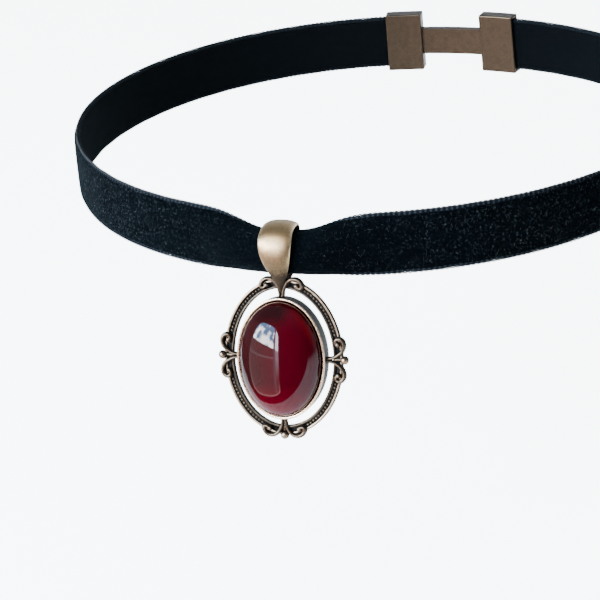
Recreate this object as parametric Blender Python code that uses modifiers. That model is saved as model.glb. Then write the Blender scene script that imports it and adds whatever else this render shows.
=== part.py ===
# Choker: a velvet ribbon worn round the neck, with an oval glass stone hanging from it in a cast
# setting. Metres, +Z up. The front faces -Y. The origin is the middle of the neck opening, at the
# mean height of the ribbon's middle line.

import math

import bmesh
import bpy
import numpy as np
from mathutils import Matrix, Vector

# The loop: the ribbon's middle surface goes round an oval and rises towards the back
LOOP_HALF_WIDTH = 0.0540
LOOP_HALF_DEPTH = 0.0470
LOOP_RISE = 0.0083
RIBBON_WIDTH = 0.0096
RIBBON_THICKNESS = 0.0011
RIBBON_LEAN = math.radians(5.0)
RIBBON_SIDE_LEAN = math.radians(-1.0)

# Where the bail gathers the ribbon: its section curls, stands off the neck and sinks a little
PINCH_ANGLE = math.radians(87.0)
PINCH_REACH_LEFT = 0.0232
PINCH_REACH_RIGHT = 0.0212
PINCH_STANDOFF = 0.0010
PINCH_SAG = 0.0008

# The clasp at the back: two crimps on the ribbon's ends and a bar between them
CLASP_BAR_LENGTH = 0.0120
CLASP_BAR_HEIGHT = 0.0050
CLASP_BAR_THICKNESS = 0.0014
CRIMP_LENGTH = 0.0070
CRIMP_WALL = 0.0005
CRIMP_END_WALL = 0.0012
CRIMP_BEVEL = 0.0002

# How the pendant hangs: in its own frame x is right, y up and z out of the stone
PENDANT_LEAN = math.radians(10.26)
PENDANT_TURN = math.radians(3.0)
BAIL_HANG = 0.01686
BAIL_BACK = 0.00052

# The stone and its cup
STONE_LENGTH = 0.0180
STONE_WIDTH = 0.0130
STONE_GIRDLE = 0.0013
STONE_DOME = 0.0042
CUP_WALL = 0.0005
CUP_HEIGHT = 0.0024
CUP_FLOOR = 0.0007

# The openwork ring round the cup
RING_GAP_SIDE = 0.0010
RING_GAP_END = 0.0013
RING_INNER_LIP = 0.00045
RING_CHANNEL = 0.00065
RING_OUTER_LIP = 0.00030
RING_HEIGHT = 0.0013
RING_BACK = 0.0006
RING_CHANNEL_DEPTH = 0.0004
BEAD_PITCH = 0.000605
BEAD_RADIUS = 0.00024

# The scroll ornaments at the top, bottom and sides
SCROLL_SPAN = 0.0034
SCROLL_REACH = 0.00125
SCROLL_WIRE = 0.00031
SCROLL_HEIGHT = 0.0018
SCROLL_TIP = 0.00037
SCROLL_PLATE = 0.0010
BALL_RADIUS = 0.00062
BALL_OUT_SIDE = 0.00108
BALL_OUT_END = 0.00078
BALL_HEIGHT = 0.0012
STALK_WIRE = 0.00026
BACK_STEP = 0.0001

# The bail that the ribbon passes through
BAIL_WIDTH = 0.0060
BAIL_SWAY = 0.0003
BAIL_CROWN = 0.0011
BAIL_EDGE = 0.00045
BAIL_TOP_SHARE = 0.45
BAIL_CORNER = 0.0004
BAIL_TIP_OVERLAP = 0.0002
BAIL_ROOT_HALF_WIDTH = 0.0010

# Gaps between neighbouring pieces
STONE_GAP = 0.0003
EYE_GAP = 0.0003
CRIMP_GAP = 0.0003

# How finely the shapes are drawn
OVAL_STEPS = 48
RIBBON_STEP = 0.0026
RIBBON_ROWS = 6
BAIL_COLUMNS = 7

# One scroll, from the cup to its tip. along: share of SCROLL_SPAN. out: from -1 at the cup, through
# 0 at the ring's middle line, to 1 at SCROLL_REACH outside that line
SCROLL_TABLE = [
    dict(along=0.06, out=-1.02),
    dict(along=0.10, out=-0.48),
    dict(along=0.18, out=-0.14),
    dict(along=0.27, out=0.20),
    dict(along=0.41, out=0.62),
    dict(along=0.56, out=0.86),
    dict(along=0.74, out=1.00),
    dict(along=0.90, out=0.92),
    dict(along=1.00, out=0.62),
    dict(along=0.97, out=0.24),
    dict(along=0.87, out=-0.06),
]
SCROLL_PLATE_START = 2

# The bail's outline. height: share of the way from its tip to its top. width: share of BAIL_WIDTH
BAIL_TABLE = [
    dict(height=0.00, width=0.08),
    dict(height=0.06, width=0.14),
    dict(height=0.15, width=0.27),
    dict(height=0.25, width=0.43),
    dict(height=0.37, width=0.60),
    dict(height=0.48, width=0.73),
    dict(height=0.60, width=0.84),
    dict(height=0.74, width=0.91),
    dict(height=0.86, width=0.92),
    dict(height=1.00, width=0.86),
]

# Sizes that follow from the ones above
CUP_INNER = (STONE_WIDTH / 2 + STONE_GAP, STONE_LENGTH / 2 + STONE_GAP)
CUP_OUTER = (CUP_INNER[0] + CUP_WALL, CUP_INNER[1] + CUP_WALL)
RING_INNER = (CUP_OUTER[0] + RING_GAP_SIDE, CUP_OUTER[1] + RING_GAP_END)
RING_WIDTH = RING_INNER_LIP + RING_CHANNEL + RING_OUTER_LIP
RING_MIDDLE = (RING_INNER[0] + RING_WIDTH / 2, RING_INNER[1] + RING_WIDTH / 2)
RIBBON_CURL = RIBBON_WIDTH / (2 * PINCH_ANGLE)
EYE_RADIUS = RIBBON_CURL + RIBBON_THICKNESS / 2 + EYE_GAP
EYE_CENTRE = (BAIL_HANG, -BAIL_BACK - RIBBON_CURL * math.cos(PINCH_ANGLE))
CLASP_LENGTH = CLASP_BAR_LENGTH + 2 * CRIMP_LENGTH
CRIMP_HEIGHT = RIBBON_WIDTH + 2 * (CRIMP_GAP + CRIMP_WALL)
CRIMP_THICKNESS = RIBBON_THICKNESS + 2 * (CRIMP_GAP + CRIMP_WALL)


def clear_scene():
    for old in list(bpy.data.objects):
        bpy.data.objects.remove(old)


def new_collection(name):
    collection = bpy.data.collections.new(name)
    bpy.context.scene.collection.children.link(collection)
    return collection


def make_material(name, colour, roughness, metallic):
    material = bpy.data.materials.new(name)
    material.use_nodes = True
    shader = material.node_tree.nodes["Principled BSDF"]
    shader.inputs["Base Color"].default_value = (*colour, 1.0)
    shader.inputs["Roughness"].default_value = roughness
    shader.inputs["Metallic"].default_value = metallic
    return material


def mesh_object(name, mesh, collection, parent=None):
    piece = bpy.data.objects.new(name, mesh)
    collection.objects.link(piece)
    piece.parent = parent
    return piece


def finish_piece(piece, material):
    piece.data.materials.clear()
    piece.data.materials.append(material)
    piece.data.shade_smooth()
    piece.data.set_sharp_from_angle(angle=math.radians(35.0))


def hide_helper(helper):
    helper.hide_render = True
    helper.display_type = "WIRE"


def poly_curve(name, points, cyclic):
    """A flat curve through points (x, y)."""
    curve = bpy.data.curves.new(name, "CURVE")
    curve.dimensions = "2D"
    spline = curve.splines.new("POLY")
    spline.points.add(len(points) - 1)
    for corner, (x, y) in zip(spline.points, points):
        corner.co = (x, y, 0.0, 1.0)
    spline.use_cyclic_u = cyclic
    return curve


def curve_as_mesh(name, curve, height=0.0, profile=None):
    """The closed mesh that a curve makes, with its caps welded, raised by height."""
    guide = bpy.data.objects.new(name + "_guide", curve)
    bpy.context.scene.collection.objects.link(guide)
    profile_guide = None
    if profile is not None:
        profile_guide = bpy.data.objects.new(name + "_profile", profile)
        bpy.context.scene.collection.objects.link(profile_guide)
        curve.bevel_mode = "OBJECT"
        curve.bevel_object = profile_guide
        curve.use_fill_caps = True
    bpy.context.view_layer.update()
    mesh = bpy.data.meshes.new_from_object(guide.evaluated_get(bpy.context.evaluated_depsgraph_get()))
    mesh.name = name
    shape = bmesh.new()
    shape.from_mesh(mesh)
    bmesh.ops.remove_doubles(shape, verts=shape.verts, dist=1e-7)
    bmesh.ops.recalc_face_normals(shape, faces=shape.faces)
    bmesh.ops.translate(shape, verts=shape.verts, vec=(0.0, 0.0, height))
    shape.to_mesh(mesh)
    shape.free()
    bpy.data.objects.remove(guide)
    if profile_guide is not None:
        bpy.data.objects.remove(profile_guide)
    return mesh


def swept_mesh(name, path, section, cyclic):
    """A section (out, up) carried along a flat path. Round a closed path, out is its outside."""
    profile = poly_curve(name, [(-out, up) for out, up in section], True)
    return curve_as_mesh(name, poly_curve(name, path, cyclic), 0.0, profile)


def plate_mesh(name, outline, low, high):
    """A flat plate with the given outline between two heights."""
    curve = poly_curve(name, outline, True)
    curve.fill_mode = "BOTH"
    curve.extrude = (high - low) / 2
    return curve_as_mesh(name, curve, (high + low) / 2)


def ball_mesh(name, radius, centre, rings=8, segments=10):
    shape = bmesh.new()
    bmesh.ops.create_uvsphere(shape, u_segments=segments, v_segments=rings, radius=radius,
                              matrix=Matrix.Translation(centre))
    mesh = bpy.data.meshes.new(name)
    shape.to_mesh(mesh)
    shape.free()
    return mesh


def sheet_mesh(name, points):
    """An open sheet of quads through a grid of points (rows, columns, 3)."""
    rows, columns = points.shape[:2]
    index = np.arange(rows * columns).reshape(rows, columns)
    quads = np.stack([index[:-1, :-1], index[1:, :-1], index[1:, 1:], index[:-1, 1:]], -1)
    mesh = bpy.data.meshes.new(name)
    mesh.from_pydata(points.reshape(-1, 3).tolist(), [], quads.reshape(-1, 4).tolist())
    return mesh


def oval_points(half_width, half_length, steps=OVAL_STEPS):
    turn = 2 * math.pi * np.arange(steps) / steps
    return np.stack([half_width * np.cos(turn), half_length * np.sin(turn)], -1)


def smooth_path(points, steps):
    """A Catmull-Rom curve through the points, with a number of steps between each two."""
    points = np.asarray(points)
    ends = np.vstack([2 * points[0] - points[1], points, 2 * points[-1] - points[-2]])
    share = (np.arange(steps) / steps)[:, None]
    stretches = []
    for before, start, end, after in zip(ends, ends[1:], ends[2:], ends[3:]):
        stretches.append(start + 0.5 * share * (end - before
                         + share * (2 * before - 5 * start + 4 * end - after
                                    + share * (3 * (start - end) + after - before))))
    return np.vstack(stretches + [points[-1:]])


def ease(share):
    share = np.clip(share, 0.0, 1.0)
    return share * share * (3 - 2 * share)


# The loop's angle at each length along it, measured from the front, to the right
LOOP_ANGLES = np.linspace(-math.pi, math.pi, 4001)
LOOP_SPEED = np.hypot(LOOP_HALF_WIDTH * np.cos(LOOP_ANGLES), LOOP_HALF_DEPTH * np.sin(LOOP_ANGLES))
LOOP_LENGTHS = np.concatenate([[0.0], np.cumsum((LOOP_SPEED[1:] + LOOP_SPEED[:-1]) / 2)])
LOOP_LENGTHS = (LOOP_LENGTHS - LOOP_LENGTHS[-1] / 2) * (LOOP_ANGLES[1] - LOOP_ANGLES[0])
LOOP_LENGTH = 2 * LOOP_LENGTHS[-1]


def pinch_at(lengths):
    """How far the ribbon is gathered there: 1 inside the bail, easing to 0 on each side."""
    core = BAIL_WIDTH / 2 + EYE_GAP
    reach = np.where(lengths > 0, PINCH_REACH_RIGHT, PINCH_REACH_LEFT)
    return ease(1 - (np.abs(lengths) - core) / reach) ** 2


def band_points(lengths, across):
    """The ribbon's middle surface: an oval that rises to the back. across: heights on the flat
    ribbon. Where it is gathered, the flat section curls into an arc whose edges turn back."""
    lengths = np.where(lengths > LOOP_LENGTH / 2, lengths - LOOP_LENGTH, lengths)
    angle = np.interp(lengths, LOOP_LENGTHS, LOOP_ANGLES)
    pinch = pinch_at(lengths)
    half_curl = np.maximum(PINCH_ANGLE * pinch, 1e-3)[:, None]
    radius = RIBBON_WIDTH / (2 * half_curl)
    bend = across[None, :] / radius
    bulge = radius * (np.cos(bend) - np.cos(half_curl))
    rise = radius * np.sin(bend)
    free_lean = RIBBON_LEAN + (RIBBON_SIDE_LEAN - RIBBON_LEAN) * np.sin(angle) ** 2
    lean = (free_lean + (PENDANT_LEAN - free_lean) * pinch)[:, None]
    out = bulge * np.cos(lean) - rise * np.sin(lean) + PINCH_STANDOFF * pinch[:, None] ** 2
    up = bulge * np.sin(lean) + rise * np.cos(lean)
    middle = -LOOP_RISE / 2 * np.cos(angle) - PINCH_SAG * pinch ** 2
    away = np.stack([np.sin(angle) / LOOP_HALF_WIDTH, -np.cos(angle) / LOOP_HALF_DEPTH], -1)
    away /= np.linalg.norm(away, axis=1, keepdims=True)
    x = LOOP_HALF_WIDTH * np.sin(angle)[:, None] + away[:, :1] * out
    y = -LOOP_HALF_DEPTH * np.cos(angle)[:, None] + away[:, 1:] * out
    return np.stack([x, y, middle[:, None] + up], -1)


def band_piece(name, collection, start, end, width, thickness, step=RIBBON_STEP, rows=RIBBON_ROWS):
    """A strip of the loop from one length along it to another, thickened evenly on both sides."""
    lengths = np.linspace(start, end, max(3, round((end - start) / step)) + 1)
    across = np.linspace(-width / 2, width / 2, rows + 1)
    strip = mesh_object(name, sheet_mesh(name, band_points(lengths, across)), collection)
    wall = strip.modifiers.new("thickness", "SOLIDIFY")
    wall.thickness = thickness
    wall.offset = 0.0
    wall.use_even_offset = True
    return strip


def ribbon_piece(parts, material):
    """The ribbon, from one crimp round the front to the other."""
    end = LOOP_LENGTH / 2 - CLASP_LENGTH / 2 + CRIMP_LENGTH - CRIMP_END_WALL - CRIMP_GAP
    ribbon = band_piece("velvet_ribbon", parts, -end, end, RIBBON_WIDTH, RIBBON_THICKNESS)
    finish_piece(ribbon, material)
    return ribbon


def clasp_piece(parts, helpers, material):
    """One bar round the back, with a crimp at each end that is cut open for the ribbon."""
    back = LOOP_LENGTH / 2
    clasp = band_piece("clasp", parts, back - CLASP_LENGTH / 2, back - CLASP_LENGTH / 2 + CRIMP_LENGTH,
                       CRIMP_HEIGHT, CRIMP_THICKNESS, rows=2)
    bevel = clasp.modifiers.new("rounded_edges", "BEVEL")
    bevel.width = CRIMP_BEVEL
    bevel.segments = 2
    bevel.limit_method = "ANGLE"
    bevel.angle_limit = math.radians(60.0)
    other = band_piece("clasp_far_crimp", helpers, back + CLASP_LENGTH / 2 - CRIMP_LENGTH,
                       back + CLASP_LENGTH / 2, CRIMP_HEIGHT, CRIMP_THICKNESS, rows=2)
    far_bevel = other.modifiers.new("rounded_edges", "BEVEL")
    far_bevel.width = CRIMP_BEVEL
    far_bevel.segments = 2
    far_bevel.limit_method = "ANGLE"
    far_bevel.angle_limit = math.radians(60.0)
    overlap = CRIMP_END_WALL / 2
    bar = band_piece("clasp_bar", helpers, back - CLASP_BAR_LENGTH / 2 - overlap,
                     back + CLASP_BAR_LENGTH / 2 + overlap, CLASP_BAR_HEIGHT, CLASP_BAR_THICKNESS, rows=2)
    depth = CRIMP_LENGTH - CRIMP_END_WALL
    slots = []
    for side, name in ((-1, "slot_left"), (1, "slot_right")):
        mouth = back + side * (CLASP_LENGTH / 2 + CRIMP_LENGTH / 4)
        blind = back + side * (CLASP_LENGTH / 2 - depth)
        slots.append(band_piece(name, helpers, min(mouth, blind), max(mouth, blind),
                                RIBBON_WIDTH + 2 * CRIMP_GAP, RIBBON_THICKNESS + 2 * CRIMP_GAP, rows=2))
    for helper, operation in ((other, "UNION"), (bar, "UNION"), (slots[0], "DIFFERENCE"),
                              (slots[1], "DIFFERENCE")):
        hide_helper(helper)
        cut = clasp.modifiers.new(helper.name, "BOOLEAN")
        cut.operation = operation
        cut.object = helper
        cut.solver = "EXACT"
    finish_piece(clasp, material)
    return clasp


def pendant_frame(parts):
    """The empty that carries the pendant: its z looks out of the stone and its y up the bail."""
    frame = bpy.data.objects.new("pendant_frame", None)
    parts.objects.link(frame)
    frame.rotation_euler = (math.pi / 2 - PENDANT_LEAN, 0.0, PENDANT_TURN)
    eye = Vector((0.0, -LOOP_HALF_DEPTH - PINCH_STANDOFF, -LOOP_RISE / 2 - PINCH_SAG))
    frame.location = eye - frame.rotation_euler.to_matrix() @ Vector((0.0, BAIL_HANG, -BAIL_BACK))
    return frame


def stone_piece(parts, frame, material):
    """An oval cabochon: a flat base, an upright girdle and a domed top, in rings that shrink."""
    base = CUP_FLOOR + STONE_GAP
    chamfer = STONE_GIRDLE / 6
    rings = [(1 - 2 * chamfer / STONE_WIDTH, base), (1.0, base + chamfer), (1.0, base + STONE_GIRDLE)]
    for slope in np.radians([14.0, 28.0, 42.0, 56.0, 70.0, 80.0]):
        rings.append((math.cos(slope), base + STONE_GIRDLE + STONE_DOME * math.sin(slope)))
    oval = oval_points(STONE_WIDTH / 2, STONE_LENGTH / 2)
    shape = bmesh.new()
    loops = []
    for share, height in rings:
        loops.append([shape.verts.new((x * share, y * share, height)) for x, y in oval])
    for lower, upper in zip(loops, loops[1:]):
        for here in range(OVAL_STEPS):
            after = (here + 1) % OVAL_STEPS
            shape.faces.new((lower[here], lower[after], upper[after], upper[here]))
    top = shape.verts.new((0.0, 0.0, base + STONE_GIRDLE + STONE_DOME))
    for here in range(OVAL_STEPS):
        shape.faces.new((loops[-1][here], loops[-1][(here + 1) % OVAL_STEPS], top))
    shape.faces.new(loops[0][::-1])
    mesh = bpy.data.meshes.new("cabochon")
    shape.to_mesh(mesh)
    shape.free()
    stone = mesh_object("cabochon", mesh, parts, frame)
    finish_piece(stone, material)
    return stone


def ring_offset(half_sizes, along, out):
    """A point beside an oval's end on the y axis: along it sideways, and out from it."""
    half_width, half_length = half_sizes
    return np.array([along, half_length * math.sqrt(1 - (along / half_width) ** 2) + out])


def cup_pieces():
    """The cup's wall with a rounded rim, and its floor."""
    round_over = CUP_WALL * 0.3
    wall = [(-CUP_WALL, BACK_STEP), (0.0, BACK_STEP), (0.0, CUP_HEIGHT - round_over),
            (-round_over, CUP_HEIGHT), (-CUP_WALL + round_over, CUP_HEIGHT),
            (-CUP_WALL, CUP_HEIGHT - round_over)]
    floor_edge = (CUP_OUTER[0] - CUP_WALL / 2, CUP_OUTER[1] - CUP_WALL / 2)
    return [swept_mesh("cup_wall", oval_points(*CUP_OUTER), wall, True),
            plate_mesh("cup_floor", oval_points(*floor_edge), 0.0, CUP_FLOOR)]


def ring_section():
    """Across the ring, from its middle line: an inner lip, a sunk channel and an outer lip."""
    inner = -RING_WIDTH / 2
    outer = RING_WIDTH / 2
    floor = RING_HEIGHT - RING_CHANNEL_DEPTH
    soft = RING_OUTER_LIP * 0.3
    return [(inner, RING_BACK), (outer, RING_BACK), (outer, RING_HEIGHT - soft),
            (outer - soft, RING_HEIGHT),
            (outer - RING_OUTER_LIP + soft, RING_HEIGHT), (outer - RING_OUTER_LIP, floor),
            (inner + RING_INNER_LIP, floor), (inner + RING_INNER_LIP - soft, RING_HEIGHT),
            (inner + soft, RING_HEIGHT), (inner, RING_HEIGHT - soft)]


def bead_centres():
    """Even steps round the channel's middle, leaving out the stretches under the ornaments."""
    offset = RING_INNER_LIP + RING_CHANNEL / 2
    half_width = RING_INNER[0] + offset
    half_length = RING_INNER[1] + offset
    turn = np.linspace(0.0, math.pi / 2, 2001)
    speed = np.hypot(half_width * np.sin(turn), half_length * np.cos(turn))
    lengths = np.concatenate([[0.0], np.cumsum((speed[1:] + speed[:-1]) / 2 * (turn[1] - turn[0]))])
    margin = SCROLL_SPAN + SCROLL_WIRE + BEAD_RADIUS
    room = lengths[-1] - 2 * margin
    count = int(room / BEAD_PITCH) + 1
    start = lengths[-1] / 2 - (count - 1) * BEAD_PITCH / 2
    turns = np.interp(start + BEAD_PITCH * np.arange(count), lengths, turn)
    quarter = np.stack([half_width * np.cos(turns), half_length * np.sin(turns)], -1)
    return np.vstack([quarter * signs for signs in ((1, 1), (-1, 1), (-1, -1), (1, -1))])


def bead_meshes():
    height = RING_HEIGHT - RING_CHANNEL_DEPTH + BEAD_RADIUS * 0.35
    return [ball_mesh("bead", BEAD_RADIUS, (x, y, height), rings=3, segments=6)
            for x, y in bead_centres()]


def scroll_points(half_sizes, cup_reach, side):
    """One scroll of the ornament on the oval's +y end, on the right (side 1) or left (side -1)."""
    points = []
    for row in SCROLL_TABLE:
        along = row["along"] * SCROLL_SPAN
        reach = SCROLL_REACH if row["out"] > 0 else half_sizes[1] - cup_reach
        point = ring_offset(half_sizes, along, row["out"] * reach)
        points.append((side * point[0], point[1]))
    return points


def ornament_meshes(half_sizes, cup_reach, turn, ball_out):
    """Two scrolls, their plates, a stalk and a ball, made on the +y end and turned into place.
    Without ball_out the stalk and ball are left out, for the place where the bail stands."""
    wire_back = RING_BACK + BACK_STEP
    wire = [(-SCROLL_WIRE, wire_back), (SCROLL_WIRE, wire_back),
            (SCROLL_WIRE, SCROLL_HEIGHT - SCROLL_WIRE),
            (SCROLL_WIRE * 0.5, SCROLL_HEIGHT), (-SCROLL_WIRE * 0.5, SCROLL_HEIGHT),
            (-SCROLL_WIRE, SCROLL_HEIGHT - SCROLL_WIRE)]
    meshes = []
    for side in (1, -1):
        points = scroll_points(half_sizes, cup_reach, side)
        path = smooth_path(points, 2)
        meshes.append(swept_mesh("scroll", path, wire, False))
        meshes.append(plate_mesh("scroll_plate", path[2 * SCROLL_PLATE_START:],
                                 wire_back + BACK_STEP, SCROLL_PLATE))
        tip = (*points[-1], SCROLL_HEIGHT - SCROLL_TIP)
        meshes.append(ball_mesh("scroll_tip", SCROLL_TIP, tip, rings=6, segments=8))
    if ball_out is not None:
        centre = (0.0, half_sizes[1] + ball_out)
        stalk_back = wire_back + BACK_STEP
        stalk = [(-STALK_WIRE, stalk_back), (STALK_WIRE, stalk_back), (0.0, BALL_HEIGHT)]
        meshes.append(swept_mesh("stalk", [(0.0, half_sizes[1] - RING_WIDTH / 2), centre], stalk, False))
        meshes.append(ball_mesh("ball", BALL_RADIUS, (*centre, BALL_HEIGHT), rings=10, segments=12))
    for mesh in meshes:
        mesh.transform(Matrix.Rotation(turn, 4, "Z"))
    return meshes


def bail_foot_mesh():
    """A solid foot across the ring under the bail's tip and between the scrolls."""
    half = SCROLL_SPAN * 0.42
    near = RING_INNER[1] - BAIL_TIP_OVERLAP
    far = RING_INNER[1] + RING_WIDTH
    outline = [(half * 0.35, near), (half, near + RING_WIDTH * 0.45), (half, far),
               (-half, far), (-half, near + RING_WIDTH * 0.45), (-half * 0.35, near)]
    return plate_mesh("bail_foot", outline, RING_BACK + 2 * BACK_STEP, RING_HEIGHT + BACK_STEP)


def bail_section():
    """The inside of the bail seen from the side, (y, z): a straight front from its tip, an arc over
    the ribbon, a small corner and a back that returns to the ring. Also how much each point
    belongs to the front leaf."""
    eye_y, eye_z = EYE_CENTRE
    tip = np.array([RING_INNER[1] - BAIL_TIP_OVERLAP, RING_HEIGHT * 0.7])
    to_eye = np.array(EYE_CENTRE) - tip
    distance = np.hypot(*to_eye)
    heading = math.atan2(to_eye[1], to_eye[0]) + math.asin(EYE_RADIUS / distance)
    straight = math.sqrt(distance ** 2 - EYE_RADIUS ** 2)
    touch = math.pi / 2 + heading
    front = [tip + straight * share * np.array([math.cos(heading), math.sin(heading)])
             for share in np.linspace(0.0, 1.0, 8)[:-1]]
    over = [np.array([eye_y + EYE_RADIUS * math.cos(angle), eye_z + EYE_RADIUS * math.sin(angle)])
            for angle in np.linspace(touch, 0.0, 15)]
    corner = np.array([eye_y + EYE_RADIUS - BAIL_CORNER, eye_z])
    turn = [corner + BAIL_CORNER * np.array([math.cos(angle), math.sin(angle)])
            for angle in np.radians([-30.0, -60.0, -90.0])]
    back_z = eye_z - BAIL_CORNER
    root = np.array([RING_INNER[1] + RING_WIDTH * 0.6, RING_BACK + BAIL_EDGE + BACK_STEP / 2])
    bend_y = eye_y - EYE_RADIUS + BAIL_CORNER
    back = [np.array([y, back_z]) for y in np.linspace(corner[0], bend_y, 6)[1:]]
    middle = np.array([(root[0] + bend_y) / 2, (root[1] + back_z) / 2 - BAIL_CORNER / 4])
    points = np.array(front + over + turn + back + [middle, root])
    top = len(front) + len(over) - 1
    front_share = np.interp(np.arange(len(points)), [top - 8, top, top + len(turn) + 1],
                            [1.0, BAIL_TOP_SHARE, 0.0])
    return points, front_share


def bail_mesh_object(collection, frame):
    """The bail: a leaf as wide as BAIL_TABLE says at each height, flat on the inside, thicker along
    its middle on the front. Its top stands BAIL_SWAY to the left of its tip."""
    section, front_share = bail_section()
    low = section[0, 0]
    height = np.clip((section[:, 0] - low) / (section[:, 0].max() - low), 0.0, 1.0)
    half = np.interp(height, [row["height"] for row in BAIL_TABLE],
                     [row["width"] for row in BAIL_TABLE]) * BAIL_WIDTH / 2
    half[len(half) // 2:] = np.maximum(half[len(half) // 2:], BAIL_ROOT_HALF_WIDTH)
    columns = np.linspace(1.0, -1.0, BAIL_COLUMNS)
    points = np.stack([half[:, None] * columns - BAIL_SWAY * height[:, None],
                       np.repeat(section[:, :1], BAIL_COLUMNS, 1),
                       np.repeat(section[:, 1:], BAIL_COLUMNS, 1)], -1)
    leaf = mesh_object("bail_leaf", sheet_mesh("bail_leaf", points), collection, frame)
    crown = BAIL_EDGE + (BAIL_CROWN - BAIL_EDGE) * front_share[:, None] * (1 - columns ** 2)
    group = leaf.vertex_groups.new(name="thickness")
    for number, thickness in enumerate(crown.ravel()):
        group.add([number], thickness / BAIL_CROWN, "REPLACE")
    wall = leaf.modifiers.new("thickness", "SOLIDIFY")
    wall.thickness = BAIL_CROWN
    wall.offset = 1.0
    wall.use_even_offset = False
    wall.vertex_group = "thickness"
    wall.thickness_vertex_group = 0.0
    return leaf


def setting_piece(parts, helpers, frame, material):
    """One casting: the ring, joined with the cup, beads, ornaments and bail. Their backs step in
    by BACK_STEP behind each other, so that no two of them lie in one plane."""
    ring = swept_mesh("setting", oval_points(*RING_MIDDLE), ring_section(), True)
    setting = mesh_object("setting", ring, parts, frame)
    sideways = (RING_MIDDLE[1], RING_MIDDLE[0])
    meshes = cup_pieces() + bead_meshes() + [bail_foot_mesh()]
    meshes += ornament_meshes(RING_MIDDLE, CUP_OUTER[1], 0.0, None)
    meshes += ornament_meshes(RING_MIDDLE, CUP_OUTER[1], math.pi, BALL_OUT_END)
    meshes += ornament_meshes(sideways, CUP_OUTER[0], math.pi / 2, BALL_OUT_SIDE)
    meshes += ornament_meshes(sideways, CUP_OUTER[0], -math.pi / 2, BALL_OUT_SIDE)
    for number, mesh in enumerate(meshes):
        hide_helper(mesh_object(f"cast_{number}", mesh, helpers, frame))
    hide_helper(bail_mesh_object(helpers, frame))
    join = setting.modifiers.new("casting", "BOOLEAN")
    join.operation = "UNION"
    join.operand_type = "COLLECTION"
    join.collection = helpers
    join.solver = "EXACT"
    finish_piece(setting, material)
    return setting


def build():
    clear_scene()
    parts = new_collection("choker")
    casting = new_collection("casting_pieces")
    cutters = new_collection("clasp_pieces")
    velvet = make_material("black_velvet", (0.006, 0.010, 0.013), 0.95, 0.0)
    bronze = make_material("antique_bronze", (0.30, 0.22, 0.15), 0.38, 1.0)
    glass = make_material("red_glass", (0.26, 0.004, 0.012), 0.05, 0.0)
    plain_metal = make_material("plain_metal", (0.34, 0.27, 0.20), 0.35, 1.0)
    ribbon_piece(parts, velvet)
    clasp_piece(parts, cutters, plain_metal)
    frame = pendant_frame(parts)
    setting_piece(parts, casting, frame, bronze)
    stone_piece(parts, frame, glass)


build()
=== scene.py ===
import math

import bpy
import numpy as np
from mathutils import Matrix, Vector
from mathutils.geometry import tessellate_polygon


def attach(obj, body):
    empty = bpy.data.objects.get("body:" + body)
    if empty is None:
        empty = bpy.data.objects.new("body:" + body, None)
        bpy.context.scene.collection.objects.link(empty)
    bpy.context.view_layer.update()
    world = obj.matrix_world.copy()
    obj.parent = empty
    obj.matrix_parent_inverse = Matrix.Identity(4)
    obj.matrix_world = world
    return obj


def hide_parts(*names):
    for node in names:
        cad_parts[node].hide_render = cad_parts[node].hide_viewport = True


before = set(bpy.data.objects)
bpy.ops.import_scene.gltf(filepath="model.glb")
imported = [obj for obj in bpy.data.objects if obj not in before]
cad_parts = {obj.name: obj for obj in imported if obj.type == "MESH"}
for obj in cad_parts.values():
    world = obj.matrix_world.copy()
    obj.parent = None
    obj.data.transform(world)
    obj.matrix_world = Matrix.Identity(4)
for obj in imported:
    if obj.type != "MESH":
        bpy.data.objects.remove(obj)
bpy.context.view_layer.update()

# Metres and radians. The loop, the gathers beside the bail and the pendant's hang are those of the
# CAD, with a shorter fully gathered stretch under the bail
loop = dict(halfWidth=0.0540, halfDepth=0.0470, rise=0.0083, lean=math.radians(5.0),
            sideLean=math.radians(-1.0))
pinch = dict(angle=math.radians(87.0), left=0.0232, right=0.0212, standoff=0.0010, sag=0.0008,
             core=0.0021)
pendant = dict(lean=math.radians(10.26), turn=math.radians(3.0), hang=0.01686, back=0.00052)
ribbon = dict(width=0.0096, thickness=0.0011, end=0.1513, step=0.0005)
rng = np.random.default_rng(11)


# Surfaces from whole arrays
def gridFaces(rows, columns, wrapRows=False, wrapColumns=False):
    index = np.arange(rows * columns).reshape(rows, columns)
    if wrapRows:
        index = np.vstack([index, index[:1]])
    if wrapColumns:
        index = np.hstack([index, index[:, :1]])
    corners = [index[:-1, :-1], index[1:, :-1], index[1:, 1:], index[:-1, 1:]]
    return np.stack(corners, -1).reshape(-1, 4)


def gridBlock(points, values, wrapRows=False, caps=False):
    rows, columns = points.shape[:2]
    flat = points.reshape(-1, 3)
    quads = gridFaces(rows, columns, wrapRows, wrapColumns=True)
    tris = np.zeros((0, 3), int)
    marks = {name: np.broadcast_to(value, (rows, columns)).reshape(-1).astype(float)
             for name, value in values.items()}
    if caps:
        count = rows * columns
        flat = np.vstack([flat, points[0].mean(0), points[-1].mean(0)])
        first = np.arange(columns)
        after = np.roll(first, -1)
        last = first + count - columns
        tris = np.vstack([np.stack([first, after, np.full(columns, count)], -1),
                          np.stack([last[after], last, np.full(columns, count + 1)], -1)])
        marks = {name: np.concatenate([mark, [mark[:columns].mean(), mark[-columns:].mean()]])
                 for name, mark in marks.items()}
    return dict(points=flat, quads=quads, tris=tris, marks=marks)


def outward(block):
    quads = block["quads"]
    faces = np.vstack([quads[:, [0, 1, 2]], quads[:, [0, 2, 3]], block["tris"]])
    centred = block["points"] - block["points"].mean(0)
    a, b, c = centred[faces[:, 0]], centred[faces[:, 1]], centred[faces[:, 2]]
    if (a * np.cross(b, c)).sum() < 0:
        block["quads"] = quads[:, ::-1]
        block["tris"] = block["tris"][:, ::-1]
    return block


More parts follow.
